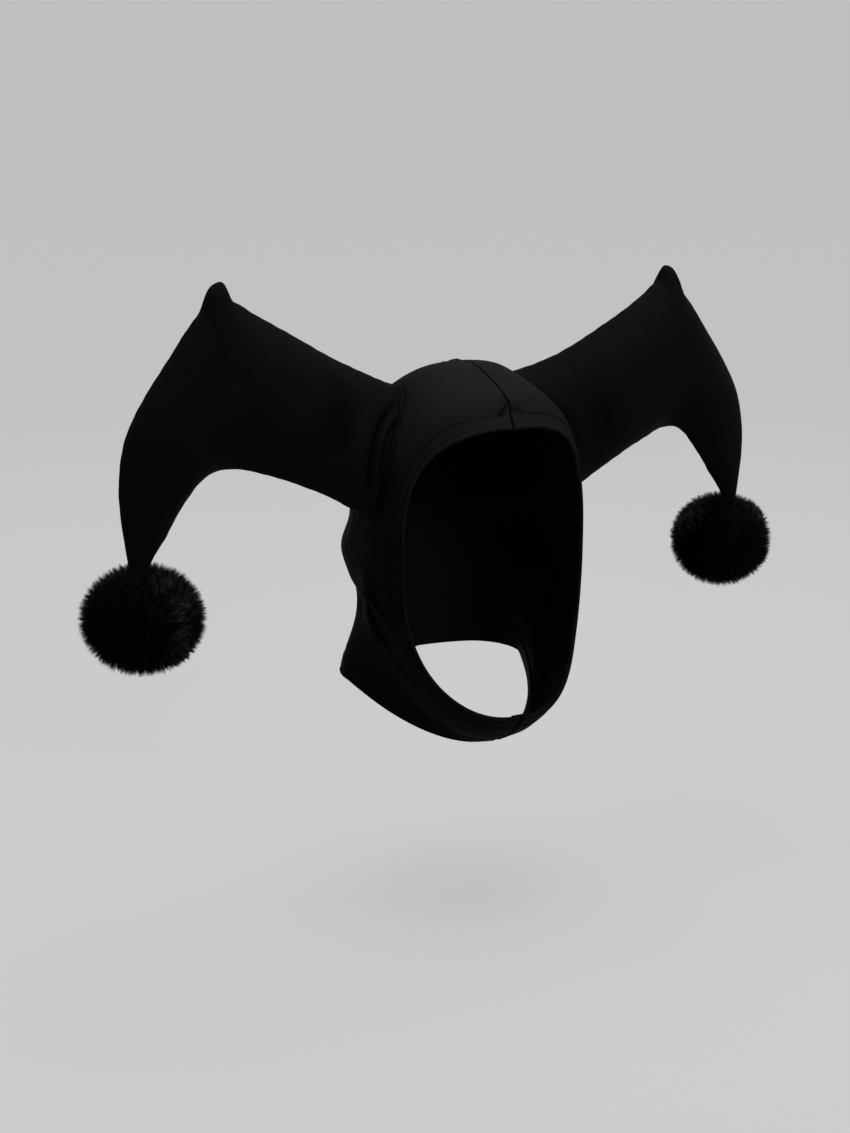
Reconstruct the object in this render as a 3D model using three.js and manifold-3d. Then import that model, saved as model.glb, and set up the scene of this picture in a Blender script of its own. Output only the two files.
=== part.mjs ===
// A two-horned jester hood of black stretch knit, with a fur pompom on the end of each horn.
// Millimetres, +Z up. The face looks along -Y and the wearer's left is +X. The origin is the inside of
// the crown, where the hood sits on the top of the head.

import * as THREE from 'three';
import { mergeVertices } from 'three/addons/utils/BufferGeometryUtils.js';
import Module from 'manifold-3d';

// Driving sizes
const hoodBreadth = 158;      // across the hood over the ears, outside
const hoodLength = 170;       // brow edge to the back of the head
const hoodHeight = 260;       // crown to the lowest point of the neck rim
const clothWall = 1.8;        // one layer of the knit
const hemWall = 3;            // turned hem, two layers
const faceHemWidth = 11;
const neckHemWidth = 17;
const hemRise = 0.6;          // how far a hem's roll stands out
const stitchSink = 0.7;       // how far the stitch line beside a hem sinks in
const stitchSpread = 0.3;     // how wide that sink is, as a share of the hem
const clearance = 0.3;        // between neighbouring pieces
const seatClearance = 0.45;   // between the horn's seat and the hood's curved side

const hornReach = 182;        // from the middle of the horn's seat out to its outer edge
const hornHeight = 172;       // from the blunt corner down to the narrow end
const hornThickness = 56;     // front to back where the horn is fullest
const seatHeight = 90;        // the horn's seam on the hood, top to bottom
const seatWidth = 44;         // the same, front to back

const pompomWidth = 80;       // over the tips of the fur
const pompomHeight = 76;
const furLength = 7;          // of a lock of fur outside the ball's backing
const lockLean = 0.22;        // sideways lean of the locks, as a share of their length
const lockVariation = 0.25;   // by how much the shortest lock is shorter
const hornBite = 7;           // how deep the horn's end goes into the ball's backing

// Tables

// Turns a line of column names and rows of numbers into records.
function table(columns, rows) {
  const names = columns.split(' ');
  return rows.map((row) => Object.fromEntries(names.map((name, i) => [name, row[i]])));
}

// Hoops round one half of the hood, from the face edge (way 0) to the neck rim (way 1). Each starts on
// the centre seam (top), passes its widest place (side) and ends on the seam under the chin (chin).
// Y is a share of hoodLength, Z of hoodHeight and half of half the hoodBreadth. crown and jaw say how
// square the hoop is above and below its side, and the bows say how late it leaves the side's Y or Z.
const hoops = table('way topY topZ sideY sideZ chinY chinZ half crown jaw bowTop bowY bowZ', [
  [0.00, -0.382, -0.138, -0.259, -0.462, -0.465, -0.887, 0.911, 2.85, 2.35, 4.2, 3.0, 0.86],
  [0.08, -0.288, -0.050, -0.200, -0.465, -0.447, -0.900, 0.975, 2.50, 2.40, 2.6, 2.6, 0.95],
  [0.23, 0.000, 0.007, -0.088, -0.488, -0.418, -0.923, 1.000, 2.10, 2.35, 1.3, 2.2, 1.10],
  [0.42, 0.353, -0.088, 0.000, -0.546, -0.376, -0.946, 1.000, 2.15, 2.30, 1.0, 1.9, 1.20],
  [0.52, 0.465, -0.196, 0.029, -0.585, -0.353, -0.958, 0.975, 2.10, 2.30, 1.0, 1.8, 1.30],
  [0.65, 0.524, -0.369, 0.059, -0.646, -0.318, -0.969, 0.930, 2.15, 2.30, 1.0, 1.7, 1.40],
  [0.75, 0.494, -0.508, 0.076, -0.708, -0.294, -0.977, 0.842, 2.15, 2.30, 1.0, 1.6, 1.50],
  [0.84, 0.441, -0.623, 0.118, -0.758, -0.276, -0.985, 0.835, 2.20, 2.25, 1.0, 1.6, 1.60],
  [0.92, 0.429, -0.735, 0.171, -0.808, -0.253, -0.988, 0.880, 2.30, 2.25, 1.0, 1.6, 1.70],
  [1.00, 0.453, -0.846, 0.200, -0.858, -0.235, -0.993, 0.918, 2.40, 2.25, 1.0, 1.6, 1.75],
]);

// Folds of the hood. Each runs from one place to another, given by share of the hoop and way to the
// rim. width and rise are shares of hoodBreadth, and a rise below zero is a valley.
const hoodFolds = table('u0 v0 u1 v1 width rise', [
  [0.13, 0.26, 0.13, 0.38, 0.120, 0.028],    // lifted under the top of the horn
  [0.36, 0.50, 0.26, 0.62, 0.075, -0.016],   // dip under the back of the horn
  [0.40, 0.54, 0.27, 0.70, 0.085, 0.022],    // roll above the nape
  [0.49, 0.56, 0.40, 0.74, 0.070, -0.024],   // pinch at the nape
  [0.52, 0.54, 0.62, 0.24, 0.058, -0.013],   // two valleys that fan out from the pinch
  [0.54, 0.66, 0.67, 0.42, 0.058, -0.012],
  [0.44, 0.97, 0.26, 0.97, 0.095, 0.012],    // flare of the rim's back corner
]);

// Where the horn is sewn on: the middle of its seat on the hood, how far the seat leans back at its
// top, how square it is, and the stretch of u that gives the hood's real height there.
const seat = { u: 0.285, v: 0.250, lean: -0.40, square: 2.3, heightSpan: [0.15, 0.42] };
const seatBlend = 0.16;       // share of the horn over which its sections pass into the seat
const socketStart = 0.9;      // share of the horn, outside the ball, where the ball's socket starts

// Sections of the horn, from its seat (along 0) to its end (along 1). Each goes from the upper and
// outer seam (T) to the under seam (B), from the middle of the seat. X is a share of hornReach,
// Y of hornThickness, Z of hornHeight and full of hornThickness. tip says how thin the section
// stays beside its T seam: 1 is round, and more is sharper.
const hornSections = table('along TX TY TZ BX BY BZ full tip', [
  [0.00, -0.060, 0.24, 0.188, 0.085, -0.10, -0.298, 0.66, 1.0],
  [0.10, 0.060, 0.14, 0.260, 0.150, -0.14, -0.266, 0.86, 1.0],
  [0.22, 0.212, 0.08, 0.338, 0.262, -0.16, -0.198, 0.98, 1.0],
  [0.36, 0.380, 0.04, 0.436, 0.400, -0.12, -0.132, 1.00, 1.0],
  [0.46, 0.498, 0.06, 0.504, 0.488, -0.08, -0.098, 0.98, 1.0],
  [0.53, 0.564, 0.10, 0.546, 0.544, -0.03, -0.080, 0.95, 1.2],
  [0.56, 0.588, 0.11, 0.574, 0.568, -0.01, -0.074, 0.93, 1.8],
  [0.575, 0.597, 0.11, 0.601, 0.582, 0.00, -0.071, 0.92, 2.1],
  [0.59, 0.618, 0.11, 0.619, 0.593, 0.01, -0.070, 0.92, 2.2],
  [0.605, 0.650, 0.11, 0.602, 0.606, 0.02, -0.069, 0.91, 2.1],
  [0.62, 0.666, 0.10, 0.565, 0.618, 0.02, -0.069, 0.90, 1.7],
  [0.65, 0.700, 0.09, 0.502, 0.640, 0.02, -0.069, 0.89, 1.2],
  [0.72, 0.806, 0.08, 0.362, 0.688, 0.02, -0.080, 0.84, 1.0],
  [0.79, 0.922, 0.07, 0.203, 0.736, 0.02, -0.118, 0.76, 1.0],
  [0.85, 0.990, 0.05, 0.070, 0.780, 0.02, -0.167, 0.66, 1.0],
  [0.90, 1.018, 0.03, -0.075, 0.829, 0.02, -0.225, 0.53, 1.0],
  [0.94, 1.012, 0.02, -0.215, 0.876, 0.02, -0.295, 0.38, 1.0],
  [0.97, 0.985, 0.02, -0.385, 0.920, 0.02, -0.372, 0.22, 1.0],
  [1.00, 0.976, 0.02, -0.450, 0.923, 0.02, -0.446, 0.18, 1.0],
]);

// Creases beside the horn's seam: along and round place each, round 0 at the upper seam and 0.5 at the
// under seam by way of the front. long and wide are in the same shares, rise a share of hornThickness.
const rightCreases = table('along round long wide rise', [
  [0.055, 0.22, 0.016, 0.17, -0.120],
  [0.095, 0.24, 0.012, 0.13, 0.040],
  [0.135, 0.26, 0.018, 0.13, -0.085],
  [0.300, 0.40, 0.060, 0.08, -0.030],
]);
const leftCreases = table('along round long wide rise', [
  [0.060, 0.28, 0.020, 0.13, -0.070],
  [0.240, 0.38, 0.022, 0.10, -0.035],
  [0.330, 0.40, 0.022, 0.09, -0.030],
]);

// Grids
const hoodSpansRound = 28;
const hoodSpansMiddle = 14;           // between the two hems
const hemLines = [0, 0.5, 1, 1.5];    // grid lines beside an edge, in shares of the hem's width
const mostHem = 0.85;                 // share of a short panel that the hems' lines may take
const wayChords = 60;                 // chords that measure the hood from the face edge to the rim
const smallStep = 1e-4;               // in u and v, for the hood's outward direction
const hornPointsRound = 24;
const hornStepsPerSection = 2;
const seatRings = [1 / 3, 2 / 3];     // rings of the horn's inner end, in shares of its seat
const ballDetail = 3;
const weldDistance = 1e-4;

// Value of one column on a smooth curve through a table's rows.
function sample(rows, key, column, at) {
  let i = 0;
  while (i < rows.length - 2 && at > rows[i + 1][key]) {
    i += 1;
  }
  const slope = (k) => {
    const before = rows[Math.max(k - 1, 0)];
    const after = rows[Math.min(k + 1, rows.length - 1)];
    return (after[column] - before[column]) / (after[key] - before[key]);
  };
  const a = rows[i];
  const b = rows[i + 1];
  const span = b[key] - a[key];
  const s = (at - a[key]) / span;
  const s2 = s * s;
  const s3 = s2 * s;
  return (2 * s3 - 3 * s2 + 1) * a[column] + (s3 - 2 * s2 + s) * span * slope(i)
    + (3 * s2 - 2 * s3) * b[column] + (s3 - s2) * span * slope(i + 1);
}

const mix = (a, b, share) => a + (b - a) * share;
const bell = (distance, width) => Math.exp(-((distance / width) ** 2));
const wave = (count) => Math.sin(count);    // of whole numbers, an uneven but fixed run from -1 to 1

// Distance from a centre to a superellipse of unit size, in the direction of an angle.
function squareRound(angle, power) {
  const s = Math.abs(Math.sin(angle)) ** power + Math.abs(Math.cos(angle)) ** power;
  return s ** (-1 / power);
}

// The smooth form of the hood's left half: u runs from the crown seam to the chin seam, and v from
// the face edge to the neck rim.
function hoodForm(u, v) {
  const at = (column) => sample(hoops, 'way', column, v);
  const angle = Math.PI * u;
  const below = u > 0.5;
  const reach = squareRound(angle, at(below ? 'jaw' : 'crown'));
  const across = Math.abs(Math.sin(angle)) * reach;
  const along = Math.min(Math.abs(Math.cos(angle)) * reach, 1);
  const end = below ? 'chin' : 'top';
  const y = mix(at('sideY'), at(end + 'Y'), along ** at(below ? 'bowY' : 'bowTop'));
  const z = mix(at('sideZ'), at(end + 'Z'), below ? along ** at('bowZ') : along);
  return new THREE.Vector3(
    clearance / 2 + across * at('half') * hoodBreadth / 2,
    y * hoodLength,
    z * hoodHeight,
  );
}

// Outward direction of the hood's form.
function hoodNormal(u, v) {
  const [u0, u1] = [Math.max(u - smallStep, 0), Math.min(u + smallStep, 1)];
  const [v0, v1] = [Math.max(v - smallStep, 0), Math.min(v + smallStep, 1)];
  const alongU = hoodForm(u1, v).sub(hoodForm(u0, v));
  const alongV = hoodForm(u, v1).sub(hoodForm(u, v0));
  return alongU.cross(alongV).normalize();
}

const foldLines = hoodFolds.map((fold) => ({
  line: new THREE.Line3(hoodForm(fold.u0, fold.v0), hoodForm(fold.u1, fold.v1)),
  width: fold.width * hoodBreadth,
  rise: fold.rise * hoodBreadth,
}));

// A point of the hood's outside with its folds, moved out along the normal by a further amount.
function hoodPoint(u, v, out = 0) {
  const point = hoodForm(u, v);
  const nearest = new THREE.Vector3();
  let rise = out;
  for (const fold of foldLines) {
    fold.line.closestPointToPoint(point, true, nearest);
    rise += fold.rise * bell(nearest.distanceTo(point), fold.width);
  }
  return point.addScaledVector(hoodNormal(u, v), rise);
}

// Ways v at given distances along the hood's line of constant u, and the line's length.
function wayAlong(u) {
  const points = Array.from({ length: wayChords + 1 }, (_, i) => hoodForm(u, i / wayChords));
  const lengths = [0];
  for (let i = 1; i <= wayChords; i += 1) {
    lengths.push(lengths[i - 1] + points[i].distanceTo(points[i - 1]));
  }
  const total = lengths[wayChords];
  const way = (distance) => {
    let i = 0;
    while (i < wayChords - 1 && lengths[i + 1] < distance) {
      i += 1;
    }
    const share = (distance - lengths[i]) / (lengths[i + 1] - lengths[i]);
    return Math.min(Math.max((i + share) / wayChords, 0), 1);
  };
  return { total, way };
}

// Distances of the hood's grid lines from the face edge, closer together at the two hems. Where the
// panel is short, both hems are narrower by the same squeeze.
function hemStations(total) {
  const hemsTogether = hemLines.at(-1) * (faceHemWidth + neckHemWidth);
  const squeeze = Math.min(1, mostHem * total / hemsTogether);
  const start = hemLines.map((k) => k * faceHemWidth * squeeze);
  const end = hemLines.map((k) => total - k * neckHemWidth * squeeze).reverse();
  const middle = [];
  for (let i = 1; i < hoodSpansMiddle; i += 1) {
    middle.push(mix(start.at(-1), end[0], i / hoodSpansMiddle));
  }
  return { distances: [...start, ...middle, ...end], squeeze };
}

// How far a hem of a given width stands out at a distance from its edge.
function hemRelief(distance, width) {
  const roll = distance < width ? hemRise * Math.sin(Math.PI * distance / width) : 0;
  return roll - stitchSink * bell(distance - width, stitchSpread * width);
}

// The middle of a list of points.
function middleOf(points) {
  return points.reduce((sum, p) => sum.add(p), new THREE.Vector3()).divideScalar(points.length);
}

// A geometry from a list of points and triangles.
function solidFrom(points, triangles) {
  const geometry = new THREE.BufferGeometry();
  const position = points.flatMap((p) => [p.x, p.y, p.z]);
  geometry.setAttribute('position', new THREE.Float32BufferAttribute(position, 3));
  geometry.setIndex(triangles.flat());
  geometry.computeVertexNormals();
  return geometry;
}

// The same geometry on the other side of the centre plane.
function mirrored(geometry) {
  const copy = geometry.clone();
  copy.scale(-1, 1, 1);
  const index = copy.getIndex();
  for (let i = 0; i < index.count; i += 3) {
    const second = index.getX(i + 1);
    index.setX(i + 1, index.getX(i + 2));
    index.setX(i + 2, second);
  }
  copy.computeVertexNormals();
  return copy;
}

// One half of the hood: a wall with an outer and an inner grid, closed round its four borders.
function hoodHalf() {
  const outer = [];
  const inner = [];
  const places = [];
  for (let i = 0; i <= hoodSpansRound; i += 1) {
    const u = i / hoodSpansRound;
    const { total, way } = wayAlong(u);
    const { distances, squeeze } = hemStations(total);
    for (const distance of distances) {
      const v = way(distance);
      const fromRim = total - distance;
      const faceHem = faceHemWidth * squeeze;
      const neckHem = neckHemWidth * squeeze;
      const relief = hemRelief(distance, faceHem) + hemRelief(fromRim, neckHem);
      const inHem = distance < faceHem || fromRim < neckHem;
      const wall = inHem ? hemWall : clothWall;
      const outside = hoodPoint(u, v, relief);
      const inside = outside.clone().addScaledVector(hoodNormal(u, v), -wall);
      if (i === 0 || i === hoodSpansRound) {
        outside.x = clearance / 2;
        inside.x = clearance / 2;
      }
      outer.push(outside);
      inner.push(inside);
      places.push([u, v]);
    }
  }
  const columns = outer.length / (hoodSpansRound + 1);
  const count = outer.length;
  const triangles = [];
  const quad = (a, b, c, d) => triangles.push([a, b, c], [a, c, d]);
  const at = (i, j) => i * columns + j;
  const halfway = (a, b) => middleOf([outer[a], outer[b]]);
  const alongFold = (a, b, c, d) => {
    const centre = hoodPoint((places[a][0] + places[c][0]) / 2, (places[a][1] + places[c][1]) / 2);
    return halfway(a, c).distanceTo(centre) <= halfway(b, d).distanceTo(centre);
  };
  for (let i = 0; i < hoodSpansRound; i += 1) {
    for (let j = 0; j < columns - 1; j += 1) {
      const corners = [at(i, j), at(i + 1, j), at(i + 1, j + 1), at(i, j + 1)];
      if (!alongFold(...corners)) {
        corners.push(corners.shift());
      }
      const [a, b, c, d] = corners;
      quad(a, b, c, d);
      quad(count + a, count + d, count + c, count + b);
    }
    const last = columns - 1;
    quad(at(i, 0), count + at(i, 0), count + at(i + 1, 0), at(i + 1, 0));
    quad(at(i, last), at(i + 1, last), count + at(i + 1, last), count + at(i, last));
  }
  for (let j = 0; j < columns - 1; j += 1) {
    const last = hoodSpansRound;
    quad(at(0, j), at(0, j + 1), count + at(0, j + 1), count + at(0, j));
    quad(at(last, j), count + at(last, j), count + at(last, j + 1), at(last, j + 1));
  }
  return solidFrom([...outer, ...inner], triangles);
}

// A point of the horn's seat on the hood: angle 0 is its top, and share runs from its middle to its rim.
function seatPoint(angle, share) {
  const [above, below] = seat.heightSpan;
  const roundLength = hoodForm(above, seat.v).distanceTo(hoodForm(below, seat.v)) / (below - above);
  const wayLength = wayAlong(seat.u).total;
  const reach = squareRound(angle, seat.square) * share;
  const du = -Math.cos(angle) * reach * seatHeight / 2 / roundLength;
  const dv = -Math.sin(angle) * reach * seatWidth / 2 / wayLength;
  return hoodPoint(seat.u + du, seat.v + dv + seat.lean * du, seatClearance);
}

// One point of the horn's skin, from the middle of its seat. angle 0 is the T seam, and half a turn
// over the front is the B seam. grow moves the skin out.
function hornSkin(along, angle, grow) {
  const at = (column) => sample(hornSections, 'along', column, along);
  const top = new THREE.Vector3(at('TX') * hornReach, at('TY') * hornThickness, at('TZ') * hornHeight);
  const under = new THREE.Vector3(at('BX') * hornReach, at('BY') * hornThickness, at('BZ') * hornHeight);
  const middle = top.clone().add(under).multiplyScalar(0.5);
  const half = top.clone().sub(under).multiplyScalar(0.5);
  half.setLength(half.length() + grow);
  const round = Math.abs(Math.sin(angle));
  const nearTop = Math.max(Math.cos(angle), 0);
  const depth = (at('full') * hornThickness / 2 + grow) * round ** mix(1, at('tip'), nearTop);
  middle.addScaledVector(half, Math.cos(angle));
  middle.y -= Math.sign(Math.sin(angle)) * depth;
  return middle;
}

// The rings of a horn between two shares of its length.
function hornRings(start, end, creases, grow = 0) {
  const seatMiddle = seatPoint(0, 0);
  const rings = [];
  const steps = [];
  for (let k = 0; k < hornSections.length - 1; k += 1) {
    for (let s = 0; s < hornStepsPerSection; s += 1) {
      steps.push(mix(hornSections[k].along, hornSections[k + 1].along, s / hornStepsPerSection));
    }
  }
  steps.push(1);
  for (const along of steps.filter((value) => value >= start && value <= end)) {
    const ring = [];
    for (let j = 0; j < hornPointsRound; j += 1) {
      const turn = j / hornPointsRound;
      const angle = 2 * Math.PI * turn;
      const point = hornSkin(along, angle, grow).add(seatMiddle);
      const fade = Math.max(0, 1 - along / seatBlend) ** 2;
      const onSeat = seatPoint(angle, 1).sub(hornSkin(0, angle, grow)).sub(seatMiddle);
      point.addScaledVector(onSeat, fade);
      for (const crease of creases) {
        const place = bell(along - crease.along, crease.long) * bell(turn - crease.round, crease.wide);
        point.y -= crease.rise * hornThickness * place;
      }
      ring.push(point);
    }
    rings.push(ring);
  }
  return rings;
}

// A closed solid from rings, with one more point inside each end or a fan of seat rings at the start.
function lofted(rings, startFan) {
  const all = [...startFan.rings, ...rings];
  const n = hornPointsRound;
  const points = all.flat();
  const startTip = points.push(startFan.middle) - 1;
  const endTip = points.push(middleOf(all.at(-1))) - 1;
  const triangles = [];
  for (let k = 0; k < all.length - 1; k += 1) {
    for (let j = 0; j < n; j += 1) {
      const a = k * n + j;
      const b = k * n + (j + 1) % n;
      triangles.push([a, b, b + n], [a, b + n, a + n]);
    }
  }
  for (let j = 0; j < n; j += 1) {
    triangles.push([startTip, (j + 1) % n, j]);
    const base = (all.length - 1) * n;
    triangles.push([endTip, base + j, base + (j + 1) % n]);
  }
  return solidFrom(points, triangles);
}

// A whole horn, whose inner end lies on the hood.
function horn(creases) {
  const angles = Array.from({ length: hornPointsRound }, (_, j) => 2 * Math.PI * j / hornPointsRound);
  const rings = seatRings.map((share) => angles.map((angle) => seatPoint(angle, share)));
  return lofted(hornRings(0, 1, creases), { rings, middle: seatPoint(0, 0) });
}

// The hollow that the horn's end takes in the ball: its own skin, grown by the clearance all round.
function hornSocket() {
  const rings = hornRings(socketStart, 1, [], clearance);
  const deeper = rings.at(-1).map((p) => p.clone().add(new THREE.Vector3(0, 0, -clearance)));
  return lofted([...rings, deeper], { rings: [], middle: middleOf(rings[0]) });
}

const wasm = await Module();
wasm.setup();

// The same geometry with its points alone, each of them once.
function welded(geometry) {
  const bare = geometry.clone();
  bare.deleteAttribute('normal');
  bare.deleteAttribute('uv');
  return mergeVertices(bare, weldDistance);
}

function toManifold(geometry) {
  const closed = welded(geometry);
  return new wasm.Manifold(new wasm.Mesh({
    numProp: 3,
    vertProperties: new Float32Array(closed.getAttribute('position').array),
    triVerts: new Uint32Array(closed.getIndex().array),
  }));
}

function fromManifold(body) {
  const mesh = body.getMesh();
  const geometry = new THREE.BufferGeometry();
  geometry.setAttribute('position', new THREE.BufferAttribute(new Float32Array(mesh.vertProperties), 3));
  geometry.setIndex(new THREE.BufferAttribute(new Uint32Array(mesh.triVerts), 1));
  geometry.computeVertexNormals();
  return geometry;
}

// The fur ball: a round backing whose every facet is drawn out into a tapered lock of fur, with a
// socket for the horn's end.
function pompom() {
  const centre = middleOf(hornRings(1, 1, [])[0]);
  const core = new THREE.Vector3(pompomWidth, pompomWidth, pompomHeight).divideScalar(2).subScalar(furLength);
  centre.z -= core.z - hornBite;
  const ball = welded(new THREE.IcosahedronGeometry(1, ballDetail));
  const position = ball.getAttribute('position');
  const facets = ball.getIndex().array;
  const points = [];
  for (let i = 0; i < position.count; i += 1) {
    points.push(new THREE.Vector3().fromBufferAttribute(position, i).multiply(core).add(centre));
  }
  const triangles = [];
  for (let i = 0; i < facets.length; i += 3) {
    const [a, b, c] = facets.subarray(i, i + 3);
    const foot = middleOf([points[a], points[b], points[c]]);
    const lean = new THREE.Vector3(wave(i), wave(2 * i), wave(3 * i)).multiplyScalar(lockLean);
    const direction = foot.clone().sub(centre).normalize().add(lean).normalize();
    const shortening = lockVariation * (1 + wave(5 * i)) / 2;
    const apex = points.push(foot.addScaledVector(direction, furLength * (1 - shortening))) - 1;
    triangles.push([a, b, apex], [b, c, apex], [c, a, apex]);
  }
  return fromManifold(toManifold(solidFrom(points, triangles)).subtract(toManifold(hornSocket())));
}

// Assembly

const knit = { color: new THREE.Color(0x0c0c0d), roughness: 0.8, metalness: 0 };
const fur = { color: new THREE.Color(0x060606), roughness: 0.95, metalness: 0 };

function piece(name, geometry, finish) {
  const mesh = new THREE.Mesh(geometry, new THREE.MeshStandardMaterial(finish));
  mesh.name = name;
  return mesh;
}

const hat = new THREE.Group();
const leftHood = hoodHalf();
const leftBall = pompom();
hat.add(piece('hood_left', leftHood, knit));
hat.add(piece('hood_right', mirrored(leftHood), knit));
hat.add(piece('horn_left', horn(leftCreases), knit));
hat.add(piece('horn_right', mirrored(horn(rightCreases)), knit));
hat.add(piece('pompom_left', leftBall, fur));
hat.add(piece('pompom_right', mirrored(leftBall), fur));

export default hat;
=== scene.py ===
import bpy
import numpy as np
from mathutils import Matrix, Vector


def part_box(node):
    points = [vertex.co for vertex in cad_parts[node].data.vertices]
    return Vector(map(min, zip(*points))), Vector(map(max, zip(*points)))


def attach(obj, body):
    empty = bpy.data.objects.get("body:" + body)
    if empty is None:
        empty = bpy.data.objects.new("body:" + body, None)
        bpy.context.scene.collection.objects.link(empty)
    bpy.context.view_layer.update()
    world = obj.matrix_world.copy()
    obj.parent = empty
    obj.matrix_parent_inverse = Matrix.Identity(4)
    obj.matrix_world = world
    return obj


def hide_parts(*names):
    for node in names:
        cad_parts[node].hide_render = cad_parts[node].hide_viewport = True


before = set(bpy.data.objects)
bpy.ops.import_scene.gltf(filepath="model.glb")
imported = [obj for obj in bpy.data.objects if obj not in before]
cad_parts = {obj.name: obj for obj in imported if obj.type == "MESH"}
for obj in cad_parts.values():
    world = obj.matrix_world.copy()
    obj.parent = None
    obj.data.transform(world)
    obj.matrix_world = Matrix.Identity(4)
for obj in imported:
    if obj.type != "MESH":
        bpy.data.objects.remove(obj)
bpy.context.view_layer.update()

# Camera
# The photograph's viewpoint, in front of the wearer's right side and a little above the hat.
camera_place = (-0.5836, -0.9480, 0.1297)
camera_azimuth = -30.3
camera_elevation = 13.73
camera_lens = 52
camera_sensor = 36

camera = bpy.data.objects.new("camera", bpy.data.cameras.new("camera"))
camera.data.lens = camera_lens
camera.data.sensor_width = camera_sensor
camera.location = camera_place
camera.rotation_euler = (np.radians(90 - camera_elevation), 0, np.radians(camera_azimuth))
bpy.context.scene.collection.objects.link(camera)
bpy.context.scene.camera = camera

# Floor and light
# A pale paper sweep that curves up all round, so that no edge of it shows from any side. A large soft lamp
# hangs above, so the crown is lit most, with a weaker one on each side. The paper glows a little, which
# keeps it as even as a studio's.
floor_level = -0.377
floor_reach = 2.1
sweep_radius = 1.5
sweep_rise = 1.0
floor_rings = 40
floor_spokes = 96
paper_colour = (0.050, 0.050, 0.049)
paper_glow = 0.49
lamps = {
    "lamp_above": {"place": (0.10, 0.25, 1.85), "size": 1.6, "power": 85},
    "lamp_left": {"place": (0.55, -2.05, 0.95), "size": 1.0, "power": 50},
    "lamp_right": {"place": (-1.60, -1.40, 1.00), "size": 1.0, "power": 1.5},
}
lamp_aim = (0, 0, -0.1)
room_colour = (1.0, 1.0, 0.985)
room_strength = 0.06


def mesh_object(name, points, faces):
    """A shaded-smooth object from points and faces, both as arrays or lists."""
    mesh = bpy.data.meshes.new(name)
    mesh.from_pydata(np.asarray(points).reshape(-1, 3).tolist(), [], [list(face) for face in faces])
    mesh.shade_smooth()
    made = bpy.data.objects.new(name, mesh)
    bpy.context.scene.collection.objects.link(made)
    return made


def grid_faces(rows, columns, closed=False):
    """The four-sided faces of a grid of points, counted row by row. A closed grid's last column meets its
    first."""
    i, j = np.meshgrid(np.arange(rows - 1), np.arange(columns if closed else columns - 1), indexing="ij")
    right = (j + 1) % columns
    corners = [i * columns + j, (i + 1) * columns + j, (i + 1) * columns + right, i * columns + right]
    return np.stack(corners, -1).reshape(-1, 4)


def principled(name, colour, roughness, specular):
    """A new material and its shader node."""
    material = bpy.data.materials.new(name)
    material.use_nodes = True
    shader = material.node_tree.nodes["Principled BSDF"]
    shader.inputs["Base Color"].default_value = (*colour, 1)
    shader.inputs["Roughness"].default_value = roughness
    shader.inputs["Specular IOR Level"].default_value = specular
    return material, shader


def area_lamp(name, place, size, power):
    """A square lamp that looks from its place towards the hat."""
    lamp = bpy.data.objects.new(name, bpy.data.lights.new(name, "AREA"))
    lamp.data.size = size
    lamp.data.energy = power
    lamp.location = place
    direction = np.subtract(lamp_aim, place)
    lamp.rotation_euler = (np.arctan2(np.hypot(direction[0], direction[1]), -direction[2]), 0,
                           np.arctan2(-direction[0], direction[1]))
    bpy.context.scene.collection.objects.link(lamp)


def sweep():
    """Rings round the middle: flat out to the reach, then a quarter circle up, then straight up."""
    arc = sweep_radius * np.pi / 2
    along = np.linspace(0, floor_reach + arc + sweep_rise, floor_rings)
    turn = np.clip((along - floor_reach) / sweep_radius, 0, np.pi / 2)
    out = np.minimum(along, floor_reach) + sweep_radius * np.sin(turn)
    up = floor_level + sweep_radius * (1 - np.cos(turn)) + np.maximum(along - floor_reach - arc, 0)
    angle = np.linspace(0, 2 * np.pi, floor_spokes, endpoint=False)
    points = np.stack([out[:, None] * np.cos(angle), out[:, None] * np.sin(angle),
                       np.broadcast_to(up[:, None], (floor_rings, floor_spokes))], -1)
    return mesh_object("sweep", points, grid_faces(floor_rings, floor_spokes, closed=True))


floor = sweep()
paper, paper_shader = principled("paper", paper_colour, 0.9, 0.2)
paper_shader.inputs["Emission Color"].default_value = (*room_colour, 1)
paper_shader.inputs["Emission Strength"].default_value = paper_glow
floor.data.materials.append(paper)
for name, lamp in lamps.items():
    area_lamp(name, **lamp)
world = bpy.data.worlds.new("room")
world.use_nodes = True
world.node_tree.nodes["Background"].inputs["Color"].default_value = (*room_colour, 1)
world.node_tree.nodes["Background"].inputs["Strength"].default_value = room_strength
bpy.context.scene.world = world
bpy.context.scene.view_settings.view_transform = "Standard"

# Hood
# Two panels of smooth black stretch knit, one on each side of the head, sewn to each other over the crown,
# down the back and under the chin. The cloth is turned in and stitched down round the face and at the neck,
# and it is pulled into creases that fan out from the nape.
hood_breadth = 0.158
hood_length = 0.170
hood_height = 0.260
cloth_wall = 0.0018
hem_wall = 0.0030
face_hem = 0.011
neck_hem = 0.017
edge_roll = 0.0014
hem_step = 0.0006
hem_reach = 1.5
hems_most = 0.85
hem_calm_share = 0.15
hem_calm_ends = 0.30
hood_lines_round = 240
hood_bunching = 0.75
way_steps = 401
edge_lines = 6
face_hem_lines = 36
neck_hem_lines = 34
middle_lines = 88
seam_depth = 0.0014
seam_width = 0.0008
seam_power = 1.6
seam_swell = {"height": 0.00012, "place": 0.0028, "width": 0.0016}
seam_allowance = 0.0065
allowance_wall = 0.0009
pucker_height = 0.00012
hood_pucker = {"short": 0.0031, "long": 0.0117, "phase": 1, "place": 0.004, "width": 0.003}
inside_share = 0.6
stitch_line = 0.90
stitch_rows_apart = 0.0035
stitch_pitch = 0.0030
stitch_length = 0.0024
thread_radius = 0.00022
stitch_sides = 6
stitch_rings = 5
knit_colour = (0.0017, 0.0018, 0.0019)
# Greyer colour for wear at edges and seams, also used for the painted light on the crown, the crease tops and
# the horns' base ridges.
knit_wear_and_light_colour = (0.0085, 0.0090, 0.0090)
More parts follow.
